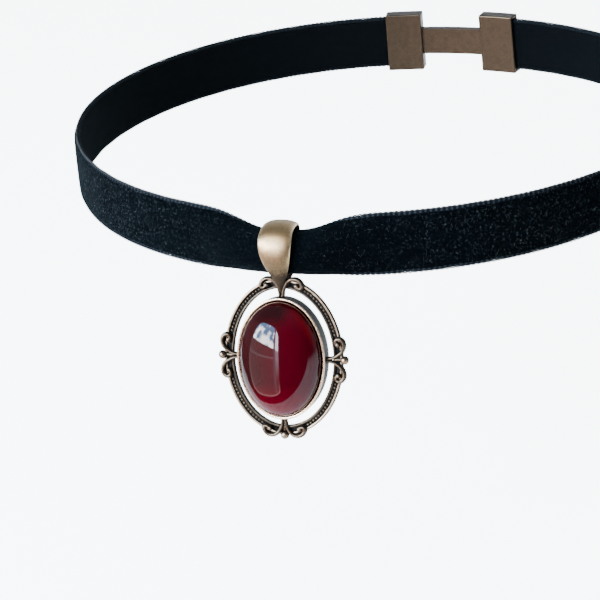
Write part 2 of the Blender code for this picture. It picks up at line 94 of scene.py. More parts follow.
def joinBlocks(blocks):
    starts = np.concatenate([[0], np.cumsum([len(block["points"]) for block in blocks])[:-1]])
    names = blocks[0]["marks"].keys()
    return dict(points=np.vstack([block["points"] for block in blocks]),
                quads=np.vstack([block["quads"] + start for block, start in zip(blocks, starts)]),
                tris=np.vstack([block["tris"] + start for block, start in zip(blocks, starts)]),
                marks={name: np.concatenate([block["marks"][name] for block in blocks])
                       for name in names})


def repeated(block, offsets):
    count, copies = len(block["points"]), len(offsets)
    shift = (np.arange(copies) * count)[:, None, None]
    return dict(points=(offsets[:, None, :] + block["points"]).reshape(-1, 3),
                quads=(shift + block["quads"]).reshape(-1, 4),
                tris=(shift + block["tris"]).reshape(-1, 3),
                marks={name: np.tile(mark, copies) for name, mark in block["marks"].items()})


def makePiece(name, block, material, node, slot):
    mesh = bpy.data.meshes.new(name)
    mesh.from_pydata(block["points"].tolist(), [], block["quads"].tolist() + block["tris"].tolist())
    for mark, values in block["marks"].items():
        layer = mesh.attributes.new(mark, "FLOAT", "POINT")
        layer.data.foreach_set("value", values.astype(np.float32))
    mesh.shade_smooth()
    mesh.materials.append(material)
    piece = bpy.data.objects.new(name, mesh)
    bpy.context.scene.collection.objects.link(piece)
    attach(piece, "root")
    if node:
        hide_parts(node)
    return piece


def smoothPath(points, steps):
    # A smooth cubic through every point, with so many steps between each two
    points = np.asarray(points, float)
    ends = np.vstack([2 * points[0] - points[1], points, 2 * points[-1] - points[-2]])
    share = (np.arange(steps) / steps)[:, None]
    before, start, end, after = (ends[k:len(ends) - 3 + k][:, None, :] for k in range(4))
    cubic = 3 * (start - end) + after - before
    square = 2 * before - 5 * start + 4 * end - after
    path = start + 0.5 * share * (end - before + share * (square + share * cubic))
    return np.vstack([path.reshape(-1, points.shape[1]), points[-1:]])


def ease(share):
    share = np.clip(share, 0.0, 1.0)
    return share * share * (3 - 2 * share)


def ballBlock(radius, relief, rings, segments):
    # A globe turned about +Z, with its relief at the foot and at the top
    lat = np.linspace(-math.pi / 2, math.pi / 2, rings + 1)[1:-1, None]
    lon = 2 * math.pi * np.arange(segments)[None, :] / segments
    points = radius * np.stack([np.cos(lat) * np.cos(lon), np.cos(lat) * np.sin(lon),
                                np.sin(lat) * np.ones_like(lon)], -1)
    low, high = relief
    block = gridBlock(points, dict(relief=low + (high - low) * (np.sin(lat) + 1) / 2), caps=True)
    block["points"][-2:] = [[0, 0, -radius], [0, 0, radius]]
    return outward(block)


# Nodes shared by the materials
def newGroup(name, inputs, outputs):
    group = bpy.data.node_groups.new(name, "ShaderNodeTree")
    for socket, kind, value in inputs:
        group.interface.new_socket(socket, in_out="INPUT", socket_type=kind).default_value = value
    for socket, kind in outputs:
        group.interface.new_socket(socket, in_out="OUTPUT", socket_type=kind)
    return group, group.nodes.new("NodeGroupInput"), group.nodes.new("NodeGroupOutput")


def setInputs(tree, node, sources):
    for socket, source in sources.items():
        if isinstance(source, bpy.types.NodeSocket):
            tree.links.new(source, node.inputs[socket])
        else:
            node.inputs[socket].default_value = source


def addNode(tree, kind, sources=(), **settings):
    node = tree.nodes.new(kind)
    for name, value in settings.items():
        setattr(node, name, value)
    setInputs(tree, node, dict(sources))
    return node


def mathNode(tree, operation, first, second=0.5):
    return addNode(tree, "ShaderNodeMath", {0: first, 1: second}, operation=operation).outputs[0]


def mixNode(tree, share, first, second):
    return addNode(tree, "ShaderNodeMix", {"Factor": share, "A": first, "B": second},
                   data_type="FLOAT").outputs[0]


def blend(tree, share, first, second):
    # The mix node keeps its colour inputs at 6 and 7 and its colour output at 2
    return addNode(tree, "ShaderNodeMix", {0: share, 6: first, 7: second},
                   data_type="RGBA").outputs[2]


def rangeNode(tree, value, low, high, toLow=0.0, toHigh=1.0):
    return addNode(tree, "ShaderNodeMapRange", {"Value": value, "From Min": low, "From Max": high,
                                                "To Min": toLow, "To Max": toHigh}).outputs[0]


def noiseNode(tree, vector, scale, detail=2.0, rough=0.5):
    return addNode(tree, "ShaderNodeTexNoise", {"Vector": vector, "Scale": scale, "Detail": detail,
                                                "Roughness": rough}).outputs[0]


def newMaterial(name):
    material = bpy.data.materials.new(name)
    material.use_nodes = True
    tree = material.node_tree
    return material, tree, tree.nodes["Principled BSDF"]


def patinaGroup():
    # Dark patina stays in the recesses and wears to pale metal where relief is near 1
    group, inside, outside = newGroup(
        "patina", [("Dark", "NodeSocketColor", (0.03, 0.025, 0.02, 1)),
                   ("Metal", "NodeSocketColor", (0.4, 0.3, 0.2, 1)),
                   ("Worn", "NodeSocketColor", (0.7, 0.55, 0.4, 1)),
                   ("Start", "NodeSocketFloat", 0.35), ("Spread", "NodeSocketFloat", 0.5)],
        [("Color", "NodeSocketColor"), ("Roughness", "NodeSocketFloat"),
         ("Metallic", "NodeSocketFloat"), ("Bump", "NodeSocketFloat")])
    place = group.nodes.new("ShaderNodeTexCoord").outputs["Object"]
    relief = addNode(group, "ShaderNodeAttribute", attribute_name="relief").outputs["Fac"]
    blotch = noiseNode(group, place, 900.0, 4.0, 0.6)
    grit = noiseNode(group, place, 5200.0, 3.0, 0.65)
    spread = inside.outputs["Spread"]
    height = mathNode(group, "ADD", relief, mathNode(group, "MULTIPLY", mathNode(
        group, "SUBTRACT", blotch, 0.5), mathNode(group, "MULTIPLY", spread, 0.6)))
    height = mathNode(group, "ADD", height, mathNode(group, "MULTIPLY", mathNode(
        group, "SUBTRACT", grit, 0.5), spread))
    start = inside.outputs["Start"]
    metal = rangeNode(group, height, start, mathNode(group, "ADD", start, 0.35))
    worn = rangeNode(group, height, mathNode(group, "ADD", start, 0.38),
                     mathNode(group, "ADD", start, 0.68))
    colour = blend(group, metal, inside.outputs["Dark"], inside.outputs["Metal"])
    colour = blend(group, worn, colour, inside.outputs["Worn"])
    rough = mixNode(group, metal, 0.62, 0.34)
    rough = mathNode(group, "ADD", rough, mathNode(group, "MULTIPLY", mathNode(
        group, "SUBTRACT", grit, 0.5), 0.25))
    group.links.new(colour, outside.inputs["Color"])
    group.links.new(rough, outside.inputs["Roughness"])
    group.links.new(rangeNode(group, metal, 0.0, 0.5), outside.inputs["Metallic"])
    group.links.new(grit, outside.inputs["Bump"])
    return group


patina = patinaGroup()


def metalMaterial(name, dark, metal, worn, start, spread, bump, roughShift=0.0):
    material, tree, shader = newMaterial(name)
    coat = addNode(tree, "ShaderNodeGroup", {"Dark": (*dark, 1), "Metal": (*metal, 1),
                                             "Worn": (*worn, 1), "Start": start, "Spread": spread},
                   node_tree=patina)
    rough = mathNode(tree, "ADD", coat.outputs["Roughness"], roughShift)
    dent = addNode(tree, "ShaderNodeBump", {"Height": coat.outputs["Bump"], "Strength": bump,
                                            "Distance": 0.00005}).outputs[0]
    setInputs(tree, shader, {"Base Color": coat.outputs["Color"], "Roughness": rough,
                             "Metallic": coat.outputs["Metallic"], "Specular IOR Level": 0.12,
                             "Normal": dent})
    return material


print("materials")
ringMetal = metalMaterial(
    "ring_bronze", dark=(0.009, 0.008, 0.0068), metal=(0.080, 0.062, 0.045), worn=(0.43, 0.31, 0.21),
    start=0.43, spread=0.40, bump=0.35)
scrollMetal = metalMaterial(
    "scroll_bronze", dark=(0.008, 0.0072, 0.0062), metal=(0.058, 0.044, 0.031),
    worn=(0.25, 0.176, 0.116), start=0.49, spread=0.46, bump=0.4)
rimMetal = metalMaterial(
    "rim_bronze", dark=(0.0055, 0.0050, 0.0042), metal=(0.24, 0.160, 0.105), worn=(0.72, 0.50, 0.34),
    start=0.30, spread=0.16, bump=0.15, roughShift=-0.06)
bailMetal = metalMaterial(
    "bail_bronze", dark=(0.022, 0.0148, 0.0082), metal=(0.34, 0.234, 0.122), worn=(1.0, 0.77, 0.48),
    start=0.19, spread=0.34, bump=0.60, roughShift=-0.01)
claspMetal = metalMaterial(
    "clasp_bronze", dark=(0.012, 0.009, 0.006), metal=(0.045, 0.032, 0.021),
    worn=(0.085, 0.062, 0.042), start=-0.3, spread=0.4, bump=0.4)


def glassMaterial():
    # Deep red with painted light: painted shade on the left, at the top and at the rim, and a
    # painted glow low down, on the right and at the upper right
    material, tree, shader = newMaterial("red_glass_deep")
    x = addNode(tree, "ShaderNodeAttribute", attribute_name="right").outputs["Fac"]
    y = addNode(tree, "ShaderNodeAttribute", attribute_name="up").outputs["Fac"]
    radius = addNode(tree, "ShaderNodeAttribute", attribute_name="relief").outputs["Fac"]
    # Painted shade on the left, painted glow on the right
    side = rangeNode(tree, x, -0.45, 0.35)
    colour = blend(tree, side, (0.013, 0.0023, 0.0027, 1), (0.028, 0.0001, 0.0023, 1))
    # Painted glow low down
    low = rangeNode(tree, y, -0.35, -0.80)
    colour = blend(tree, low, colour, (0.050, 0.0002, 0.0032, 1))
    # Painted shade along the top, except on the right
    paintedTopShade = mathNode(tree, "MULTIPLY", rangeNode(tree, y, 0.62, 0.80),
                     rangeNode(tree, x, 0.35, 0.10))
    colour = blend(tree, paintedTopShade, colour, (0.007, 0.0010, 0.0015, 1))
    # Painted glow at the upper right
    corner = mathNode(tree, "ADD", mathNode(tree, "MULTIPLY", y, 0.66),
                      mathNode(tree, "MULTIPLY", x, 0.75))
    colour = blend(tree, rangeNode(tree, corner, 0.82, 0.95), colour, (0.060, 0.0002, 0.0022, 1))
    # Painted shade at the rim
    rim = rangeNode(tree, radius, 0.93, 0.995)
    colour = blend(tree, rim, colour, (0.013, 0.0002, 0.0007, 1))
    setInputs(tree, shader, {"Base Color": colour, "Roughness": 0.03, "IOR": 1.52,
                             "Specular IOR Level": 0.19})
    return material


redGlass = glassMaterial()


def velvetMaterial():
    material, tree, shader = newMaterial("velvet_pile")
    place = tree.nodes.new("ShaderNodeTexCoord").outputs["Object"]
    across = addNode(tree, "ShaderNodeAttribute", attribute_name="across").outputs["Fac"]
    layer = addNode(tree, "ShaderNodeAttribute", attribute_name="layer").outputs["Fac"]
    along = addNode(tree, "ShaderNodeAttribute", attribute_name="along").outputs["Fac"]
    nap = noiseNode(tree, place, 240.0, 3.0, 0.6)
    tuft = noiseNode(tree, place, 4200.0, 2.0, 0.7)
    clump = noiseNode(tree, place, 1500.0, 3.0, 0.6)
    grain = noiseNode(tree, place, 2500.0, 3.0, 0.85)
    pile = blend(tree, nap, (0.0002, 0.0005, 0.0008, 1), (0.0009, 0.0018, 0.0024, 1))
    pile = blend(tree, rangeNode(tree, clump, 0.45, 0.75), pile, (0.0012, 0.0021, 0.0027, 1))
    # Painted glints on pale tips of the pile, few and faint in the folds beside the bail, which are
    # left in painted shade
    apart = rangeNode(tree, mathNode(tree, "ABSOLUTE", along), 0.005, 0.030, 0.30, 1.0)
    glintSpecks = mathNode(tree, "MULTIPLY", apart, rangeNode(tree, grain, 0.585, 0.66))
    pile = blend(tree, glintSpecks, pile, (0.0165, 0.0215, 0.0245, 1))
    # Towards the left the pile turns to the light: a painted highlight of paler tips in its colour,
    # and more sheen
    leftward = rangeNode(tree, along, -0.008, -0.050)
    tips = mathNode(tree, "MULTIPLY", leftward, rangeNode(tree, grain, 0.52, 0.66, 0.0, 0.62))
    pile = blend(tree, tips, pile, (0.0190, 0.0245, 0.0280, 1))
    # The selvedge and back are plain woven: threads cross the ribbon 0.21 mm apart, and the selvedge
    # has a knot every 0.83 mm. The selvedge's thread is painted pale as a highlight where the edge
    # turns up to the light, most on its knots and brightest beside the bail
    warp = mathNode(tree, "SINE", mathNode(tree, "MULTIPLY", across, 2 * math.pi / 0.00028))
    weft = mathNode(tree, "SINE", mathNode(tree, "MULTIPLY", along, 2 * math.pi / 0.00021))
    cross = rangeNode(tree, mathNode(tree, "MULTIPLY", warp, weft), -1.0, 1.0)
    selvedge = rangeNode(tree, mathNode(tree, "ABSOLUTE", across), 0.00446, 0.00450)
    weave = blend(tree, cross, (0.0007, 0.0010, 0.0013, 1), (0.0020, 0.0026, 0.0032, 1))
    knots = mathNode(tree, "SINE", mathNode(tree, "MULTIPLY", along, 2 * math.pi / 0.00083))
    knots = rangeNode(tree, knots, -0.2, 0.9, -0.25, 0.35)
    raised = rangeNode(tree, mathNode(tree, "ADD", tuft, knots), 0.35, 0.70)
    thread = blend(tree, raised, (0.0030, 0.0050, 0.0070, 1), (0.0170, 0.0210, 0.0255, 1))
    # The selvedge's painted highlight dims away from the bail
    edgeHighlightFalloff = rangeNode(tree, mathNode(tree, "ABSOLUTE", along), 0.020, 0.085, 0.0, 0.75)
    thread = blend(tree, edgeHighlightFalloff, thread, (0.0020, 0.0026, 0.0032, 1))
    weave = blend(tree, selvedge, weave, thread)
    isPile = mathNode(tree, "MULTIPLY", layer, rangeNode(tree, selvedge, 1.0, 0.0))
    colour = blend(tree, isPile, weave, pile)
    height = mixNode(tree, isPile, mathNode(tree, "MULTIPLY", cross, 0.6), tuft)
    dent = addNode(tree, "ShaderNodeBump", {"Height": height, "Strength": 0.9,
                                            "Distance": 0.00012}).outputs[0]
    sheen = mixNode(tree, isPile, 0.02, rangeNode(tree, nap, 0.3, 0.75, 0.006, 0.022))
    # More sheen towards the left, part of the painted highlight there
    sheen = mathNode(tree, "ADD", sheen, mathNode(tree, "MULTIPLY", mathNode(
        tree, "MULTIPLY", leftward, isPile), 0.010))
    setInputs(tree, shader, {"Base Color": colour, "Roughness": 0.95, "Specular IOR Level": 0.004,
                             "Sheen Weight": sheen, "Sheen Roughness": 0.42,
                             "Sheen Tint": (0.42, 0.62, 0.75, 1), "Normal": dent})
    return material


velvet = velvetMaterial()


def threadMaterial(name, colour, sheen):
    material, tree, shader = newMaterial(name)
    place = tree.nodes.new("ShaderNodeTexCoord").outputs["Object"]
    tone = noiseNode(tree, place, 1400.0, 2.0)
    dark = tuple(0.45 * part for part in colour)
    setInputs(tree, shader, {"Base Color": blend(tree, tone, (*dark, 1), (*colour, 1)),
                             "Roughness": 0.8, "Sheen Weight": sheen,
                             "Sheen Tint": (0.6, 0.72, 0.8, 1)})
    return material


edgeThread = threadMaterial("edge_thread", (0.0080, 0.0100, 0.0125), 0.008)
lintThread = threadMaterial("lint_fibre", (0.048, 0.060, 0.064), 0.03)


# The velvet ribbon
print("ribbon")
angles = np.linspace(-math.pi, math.pi, 4001)
speeds = np.hypot(loop["halfWidth"] * np.cos(angles), loop["halfDepth"] * np.sin(angles))
arcs = np.concatenate([[0.0], np.cumsum((speeds[1:] + speeds[:-1]) / 2)]) * (angles[1] - angles[0])
arcs -= arcs[-1] / 2


def pinchAt(along):
    reach = np.where(along > 0, pinch["right"], pinch["left"])
    return ease(1 - (np.abs(along) - pinch["core"]) / reach) ** 2


def bandPoints(along, across, lift):
    # The loop is an oval that rises to the back. Each cross-section is an arc of the pinch angle
    # times the gather there, leaning as the loop does; lift is the height above the middle surface
    along, across, lift = np.broadcast_arrays(along, across, lift)
    angle = np.interp(along, arcs, angles)
    gather = pinchAt(along)
    half = np.maximum(pinch["angle"] * gather, 1e-3)
    radius = ribbon["width"] / (2 * half)
    bend = across / radius
    bulge = (radius + lift) * np.cos(bend) - radius * np.cos(half)
    rise = (radius + lift) * np.sin(bend)
    freeLean = loop["lean"] + (loop["sideLean"] - loop["lean"]) * np.sin(angle) ** 2
    lean = freeLean + (pendant["lean"] - freeLean) * gather
    out = bulge * np.cos(lean) - rise * np.sin(lean) + pinch["standoff"] * gather ** 2
    up = bulge * np.sin(lean) + rise * np.cos(lean)
    middle = -loop["rise"] / 2 * np.cos(angle) - pinch["sag"] * gather ** 2
    awayX = np.sin(angle) / loop["halfWidth"]
    awayY = -np.cos(angle) / loop["halfDepth"]
    size = np.hypot(awayX, awayY)
    return np.stack([loop["halfWidth"] * np.sin(angle) + awayX / size * out,
                     -loop["halfDepth"] * np.cos(angle) + awayY / size * out, middle + up], -1)


def ribbonSection():
    # Across one half, from the pile's middle over its rounded shoulder and the thin woven edge to
    # the middle of the back, in millimetres; the other half mirrors it
    pile = [(a, 0.55 - 0.07 * (a / 4.3) ** 4) for a in np.linspace(0.0, 4.3, 9)]
    shoulder = [(4.38, 0.42), (4.43, 0.35), (4.46, 0.27), (4.48, 0.20)]
    edge = [(4.54, 0.19), (4.66, 0.17), (4.79, 0.12), (4.88, 0.04), (4.93, -0.08), (4.92, -0.24),
            (4.82, -0.40)]
    back = [(a, -0.55) for a in np.linspace(4.6, 0.0, 9)]
    half = np.array(pile + shoulder + edge + back)
    other = half[1:-1][::-1] * (-1, 1)
    return np.vstack([half, other]) / 1000


def ribbonPiece():
    # The woven edges wander in and out by 0.05 mm, once every 7 mm
    count = int(2 * ribbon["end"] / ribbon["step"]) + 1
    along = np.linspace(-ribbon["end"], ribbon["end"], count)[:, None]
    section = ribbonSection()
    across, lift = section[None, :, 0], section[None, :, 1]
    wander = 0.00005 * np.sin(along * 900) * (np.abs(across) > 0.0043)
    points = bandPoints(along, across + np.sign(across) * wander, lift)
    layer = np.clip((lift + 0.00010) / 0.0004, 0.0, 1.0)
    block = outward(gridBlock(points, dict(along=along, across=across, layer=layer), caps=True))
    return makePiece("ribbon_velvet", block, velvet, "velvet_ribbon", "black_velvet")


edgeLoop = dict(pitch=0.00083, halfWidth=0.00039, out=0.00027, thread=0.00014, start=0.00474,
                lift=0.00004)


def edgeLoops():
    # Along each woven edge a row of small thread loops, each half an oval that stands out
    pitch, thread = edgeLoop["pitch"], edgeLoop["thread"]
    turns = np.linspace(0.0, math.pi, 7)
    sides = 2 * math.pi * np.arange(5) / 5
    starts = np.arange(-ribbon["end"] + pitch, ribbon["end"] - pitch, pitch)
    along = starts[:, None, None] - np.cos(turns)[None, :, None] * edgeLoop["halfWidth"]
    bulge = np.sin(turns)[None, :, None] * edgeLoop["out"]
    lift = edgeLoop["lift"] + thread * np.sin(sides)[None, None, :]
    blocks = []
    for side in (-1, 1):
        across = side * (edgeLoop["start"] + bulge + thread * np.cos(sides)[None, None, :]
                         * np.sin(turns)[None, :, None])
        tilt = along - thread * np.cos(sides)[None, None, :] * np.cos(turns)[None, :, None]
        points = bandPoints(tilt, across, lift)
        blocks += [outward(gridBlock(row, {}, caps=True)) for row in points]
    return makePiece("ribbon_edge_loops", joinBlocks(blocks), edgeThread, None, "black_velvet")


lint = dict(count=620, nests=124, steps=11, near=0.009, far=0.095, edge=0.0044, lift=0.00058,
            thin=0.000003, thick=0.000008)


def lintFibres():
    # Short threads that curl at random and lie on the pile in loose nests, four in five of them
    # right of the bail
    count, nests, steps, edge = lint["count"], lint["nests"], lint["steps"], lint["edge"]
    share = np.linspace(0.0, 1.0, steps)[None, :]
    nest = rng.integers(0, nests, count)
    nestAlong = rng.uniform(lint["near"], lint["far"], nests) * rng.choice([1, 1, 1, 1, -1], nests)
    nestAcross = rng.uniform(-0.004, 0.004, nests)
    firstAlong = (nestAlong[nest] + rng.normal(0, 0.0022, count))[:, None]
    firstAcross = np.clip(nestAcross[nest] + rng.normal(0, 0.0009, count), -0.0042, 0.0042)[:, None]
    heading = rng.uniform(0, 2 * math.pi, (count, 1)) + rng.normal(0, 2.6, (count, 1)) * share
    step = (rng.gamma(1.8, 0.00026, (count, 1)) + 0.0001) / steps
    along = firstAlong + np.cumsum(np.cos(heading), 1) * step
    across = np.clip(firstAcross + np.cumsum(np.sin(heading), 1) * step, -edge, edge)
    loose = rng.uniform(-0.00002, 0.00008, (count, 1)) + 0.00005 * np.sin(share * math.pi)
    lift = lint["lift"] + loose
    sides = 2 * math.pi * np.arange(3) / 3
    radius = rng.uniform(lint["thin"], lint["thick"], (count, 1, 1))
    sideAlong = -np.sin(heading)[..., None] * np.cos(sides) * radius
    sideAcross = np.cos(heading)[..., None] * np.cos(sides) * radius
    points = bandPoints(along[..., None] + sideAlong, across[..., None] + sideAcross,
                        lift[..., None] + np.sin(sides) * radius)
    blocks = [outward(gridBlock(row, {}, caps=True)) for row in points]
    return makePiece("ribbon_lint", joinBlocks(blocks), lintThread, None, "black_velvet")


band = ribbonPiece()
trim = [edgeLoops(), lintFibres()]

# The pendant is made in its own frame: x right, y up, z out of the stone
print("pendant")
turned = (Matrix.Rotation(pendant["turn"], 3, "Z")
          @ Matrix.Rotation(math.pi / 2 - pendant["lean"], 3, "X"))
axes = np.array(turned)
eyePoint = np.array([0.0, -loop["halfDepth"] - pinch["standoff"],
                     -loop["rise"] / 2 - pinch["sag"]])
pendantOrigin = eyePoint - axes @ np.array([0.0, pendant["hang"], -pendant["back"]])


def hang(block):
    block["points"] = block["points"] @ axes.T + pendantOrigin
    return block


# Sizes follow the CAD, with a fuller stone that meets its rim, a wider outer lip and a fuller bail
stone = dict(halfWidth=0.00676, halfLength=0.00926, base=0.0010, girdle=0.0015, dome=0.0040)
cup = dict(innerX=0.0068, innerY=0.0093, wall=0.0005, floor=0.0007)
ring = dict(innerX=0.0083, innerY=0.0111, lip=0.00045, channel=0.00065, outerLip=0.00046,
            height=0.0013, back=0.0006, depth=0.0004, side=0.0009, innerRound=0.0002,
            outerRound=0.00014, channelWall=0.00003)
ring["width"] = ring["lip"] + ring["channel"] + ring["outerLip"]
scroll = dict(span=0.0034, reach=0.00125, wire=0.00034, height=0.0019, tip=0.00046, plate=0.0010,
              back=0.0007, trim=12)
ball = dict(radius=0.00069, outSide=0.00108, outEnd=0.00078, height=0.0012)
stem = dict(half=0.00028, low=0.0008, high=0.0013)
bead = dict(pitch=0.000605, radius=0.00024, gap=0.00031, lift=0.00008)


def ovalSweep(halfWidth, halfLength, section, relief, steps=240):
    # Every corner of the section rides beside the oval, out along the oval's own normal
    turn = 2 * math.pi * np.arange(steps)[:, None] / steps
    normalX, normalY = np.cos(turn) / halfWidth, np.sin(turn) / halfLength
    size = np.hypot(normalX, normalY)
    out, up = section[None, :, 0], section[None, :, 1]
    points = np.stack([halfWidth * np.cos(turn) + normalX / size * out,
                       halfLength * np.sin(turn) + normalY / size * out,
                       up + 0 * turn], -1)
    return outward(gridBlock(points, dict(relief=np.asarray(relief)[None, :]), wrapRows=True))


def stoneBlock():
    # A flat base, a rounded girdle and a dome: each ring is the oval times cos(slope), raised by
    # the dome's height times sin(slope)
    slope = np.radians(np.linspace(0.0, 88.0, 45))
    share = np.concatenate([[0.90, 0.965, 0.99, 1.0], np.cos(slope) ** 0.96])
    height = np.concatenate([[0.0, 0.0, 0.0001, 0.0004],
                             stone["girdle"] + stone["dome"] * np.sin(slope)])
    turn = 2 * math.pi * np.arange(160)[None, :] / 160
    points = np.stack([stone["halfWidth"] * share[:, None] * np.cos(turn),
                       stone["halfLength"] * share[:, None] * np.sin(turn),
                       stone["base"] + height[:, None] + 0 * turn], -1)
    # relief, right and up place the glass's painted glow and shade
    block = gridBlock(points, dict(relief=share[:, None], right=share[:, None] * np.cos(turn),
                                   up=share[:, None] * np.sin(turn)), caps=True)
    block["points"][-1, 2] = stone["base"] + stone["girdle"] + stone["dome"]
    return outward(block)


def cupBlocks():
    # The wall is upright outside; its rim is a thin rounded bead that closes on the stone. Each
    # point of the wall is its distance out from the inner face and its height, in millimetres
    wall = cup["wall"]
    section = np.array([
        (0.46, 0.10), (0.46, 1.00), (0.46, 1.95), (0.47, 2.20), (0.51, 2.32), (0.53, 2.42),
        (0.52, 2.52), (0.47, 2.60), (0.40, 2.64), (0.31, 2.65), (0.22, 2.63), (0.14, 2.58),
        (0.08, 2.50), (0.04, 2.40), (0.02, 2.20), (0.00, 1.90), (0.00, 0.10)]) / 1000
    relief = [0.0, 0.04, 0.08, 0.15, 0.30, 0.55, 0.80, 1.0, 1.08, 1.08, 1.0, 0.85, 0.6, 0.3, 0.0,
              0.0, 0.0]
    walls = ovalSweep(cup["innerX"], cup["innerY"], section, relief)
    turn = 2 * math.pi * np.arange(96)[None, :] / 96
    edgeX, edgeY = cup["innerX"] + wall / 2, cup["innerY"] + wall / 2
    height = np.array([0.0, cup["floor"]])[:, None]
    points = np.stack([edgeX * np.cos(turn) + 0 * height, edgeY * np.sin(turn) + 0 * height,
                       height + 0 * turn], -1)
    floorBlock = outward(gridBlock(points, dict(relief=0.2), caps=True))
    return [walls, floorBlock]


def ringBlock():
    # Across the ring: a rounded inner lip, a sunk channel and a thin outer lip
    top, back, floor = ring["height"], ring["back"], ring["height"] - ring["depth"]
    side, wall = ring["side"], ring["channelWall"]
    arc = np.linspace(math.pi, 0.0, 7)
    inner = np.stack([ring["lip"] / 2 * (1 + np.cos(arc)),
                      top - ring["innerRound"] * (1 - np.sin(arc))], -1)
    outerStart = ring["lip"] + ring["channel"]
    outer = np.stack([outerStart + ring["outerLip"] / 2 * (1 + np.cos(arc)),
                      top - ring["outerRound"] * (1 - np.sin(arc))], -1)
    section = np.vstack([[(0.0, back), (0.0, side)], inner,
                         [(ring["lip"] + wall, floor), (outerStart - wall, floor)], outer,
                         [(ring["width"], side), (ring["width"], back)]])
    relief = ([0.05, 0.15] + list(0.25 + 0.45 * np.sin(arc)) + [0.0, 0.0]
              + list(0.4 + 0.6 * np.sin(arc)) + [0.3, 0.1])
    return ovalSweep(ring["innerX"], ring["innerY"], section, relief)


def beadBlock():
    # Round beads in the ring's channel, evenly spaced along each quarter between the scrolls
    offset = ring["lip"] + ring["channel"] / 2
    halfWidth, halfLength = ring["innerX"] + offset, ring["innerY"] + offset
    turn = np.linspace(0.0, math.pi / 2, 2001)
    speed = np.hypot(halfWidth * np.sin(turn), halfLength * np.cos(turn))
    lengths = np.concatenate([[0.0], np.cumsum((speed[1:] + speed[:-1]) / 2 * (turn[1] - turn[0]))])
    pitch, radius = bead["pitch"], bead["radius"]
    margin = scroll["span"] + bead["gap"] + radius
    count = int((lengths[-1] - 2 * margin) / pitch) + 1
    start = lengths[-1] / 2 - (count - 1) * pitch / 2
    turns = np.interp(start + pitch * np.arange(count), lengths, turn)
    quarter = np.stack([halfWidth * np.cos(turns), halfLength * np.sin(turns)], -1)
    centres = np.vstack([quarter * signs for signs in ((1, 1), (-1, 1), (-1, -1), (1, -1))])
    seat = ring["height"] - ring["depth"] + bead["lift"]
    places = np.column_stack([centres, np.full(len(centres), seat)])
    return repeated(ballBlock(radius, (-0.1, 0.85), 8, 12), places)


# One scroll from the cup to its tip: its place along the ring, as a share of the span, and out, as
# a share of the reach or, below 0, of the gap to the cup; as in the CAD
scrollRows = [(0.06, -1.02), (0.10, -0.48), (0.18, -0.14), (0.27, 0.20), (0.41, 0.62), (0.56, 0.86),
              (0.74, 1.00), (0.90, 0.92), (1.00, 0.62), (0.985, 0.26), (0.90, 0.02), (0.79, 0.0),
              (0.735, 0.16)]


def wireBlock(path, half, low, high, taper):
    # An upright oval section carried along a flat path, thinner at its ends as taper says
    tangent = np.gradient(path, axis=0)
    tangent /= np.linalg.norm(tangent, axis=1, keepdims=True)
    normal = np.stack([tangent[:, 1], -tangent[:, 0]], -1)
    turn = 2 * math.pi * np.arange(16)[None, :] / 16
    side = half * np.sign(np.cos(turn)) * np.abs(np.cos(turn)) ** 0.8 * taper[:, None]
    lift = (high - low) / 2 * np.sin(turn)
    points = np.stack([path[:, :1] + normal[:, :1] * side, path[:, 1:] + normal[:, 1:] * side,
                       (low + high) / 2 + lift * (0.6 + 0.4 * taper[:, None])], -1)
    relief = np.clip(0.10 + 0.85 * np.sin(turn), 0.0, 1.0)
    return outward(gridBlock(points, dict(relief=relief), caps=True))


def plateBlock(outline, low, high):
    count = len(outline)
    points = np.stack([np.column_stack([outline, np.full(count, low)]),
                       np.column_stack([outline, np.full(count, high)])])
    block = gridBlock(points, dict(relief=0.0))
    fan = np.array(tessellate_polygon([[Vector((x, y, 0.0)) for x, y in outline]]))
    a, b, c = (outline[fan[:, k]] for k in range(3))
    ab, ac = b - a, c - a
    wrong = ab[:, 0] * ac[:, 1] - ab[:, 1] * ac[:, 0] < 0
    fan[wrong] = fan[wrong][:, ::-1]
    after = np.roll(outline, -1, axis=0)
    area = (outline[:, 0] * after[:, 1] - outline[:, 1] * after[:, 0]).sum()
    if area >= 0:
        block["quads"] = block["quads"][:, ::-1]
    block["tris"] = np.vstack([fan[:, ::-1], fan + count])
    return block


def ornamentBlocks(halfWidth, halfLength, cupReach, turn, ballOut):
    # Two scrolls, their sunk plates, a stalk and a ball, made on the +y end and turned into place
    blocks = []
    for side in (1, -1):
        rows = np.array(scrollRows)
        along = rows[:, 0] * scroll["span"]
        reach = np.where(rows[:, 1] > 0, scroll["reach"], halfLength - cupReach)
        out = halfLength * np.sqrt(1 - (along / halfWidth) ** 2) + rows[:, 1] * reach
        path = smoothPath(np.column_stack([side * along, out]), 6)
        taper = np.interp(np.linspace(0, 1, len(path)), [0, 0.1, 0.35, 0.7, 1.0],
                          [0.75, 0.8, 1.0, 1.1, 0.9])
        blocks.append(wireBlock(path, scroll["wire"], scroll["back"], scroll["height"], taper))
        inside = path[scroll["trim"]:-scroll["trim"]]
        blocks.append(plateBlock(inside, scroll["back"] + 0.0001, scroll["plate"]))
        tipBall = ballBlock(scroll["tip"], (0.1, 1.1), 12, 16)
        tipBall["points"] += np.array([*path[-1], scroll["height"] - scroll["tip"]])
        blocks.append(tipBall)
    if ballOut is not None:
        centre = halfLength + ballOut
        stalk = np.array([(0.0, halfLength - ring["width"] / 2), (0.0, halfLength), (0.0, centre)])
        blocks.append(wireBlock(smoothPath(stalk, 3), stem["half"], stem["low"], stem["high"],
                                np.ones(7)))
        drop = ballBlock(ball["radius"], (0.1, 1.15), 20, 28)
        drop["points"] += np.array([0.0, centre, ball["height"]])
        blocks.append(drop)
    spin = np.array(Matrix.Rotation(turn, 3, "Z"))
    for block in blocks:
        block["points"] = block["points"] @ spin.T
    return blocks


